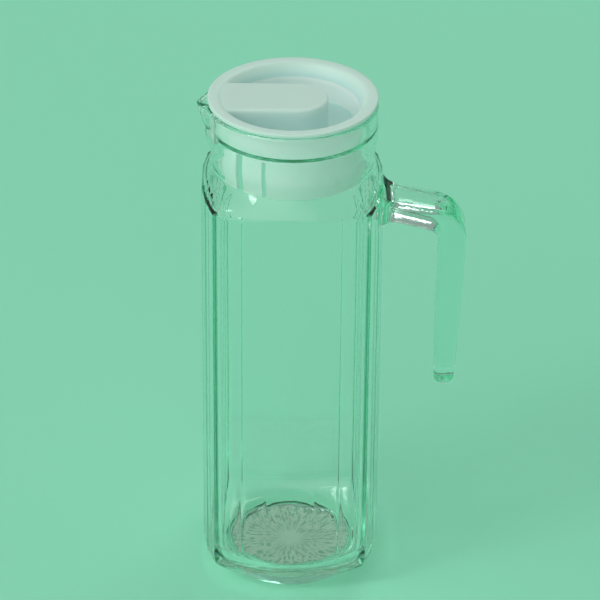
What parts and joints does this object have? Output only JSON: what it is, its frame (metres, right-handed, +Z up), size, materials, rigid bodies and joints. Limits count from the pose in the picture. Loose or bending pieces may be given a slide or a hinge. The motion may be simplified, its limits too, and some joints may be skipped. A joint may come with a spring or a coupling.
{
  "type": "lidded glass water jug",
  "caption": "Tall glass fridge jug with a faceted bowed-square body, round neck, pouring lip, open-ended glass handle and lift-out plug lid with a strainer comb.",
  "frame": {"origin": "centre of the round foot, on the jug's axis, at the face it stands on", "axes": "+Z up along the jug's axis, spout towards -X, handle towards +X"},
  "size_m": [0.1351, 0.0902, 0.268],
  "materials": {
    "clear_glass": "clear pressed soda-lime glass with a faint green tint and fire-polished edges",
    "handle_glass": "the same glass, with a fine stipple on the top and underside of the arm",
    "white_lid": "translucent white moulded polyethylene with a satin surface"
  },
  "bodies": {
    "jug": {"jug_body": "clear_glass", "handle": "handle_glass"},
    "lid": {"lid": "white_lid"}
  },
  "joints": [
    {"name": "lid_lift", "type": "slide", "parent": "jug", "child": "lid", "axis": [0, 0, 1], "range_m": [0, 0.06]}
  ]
}
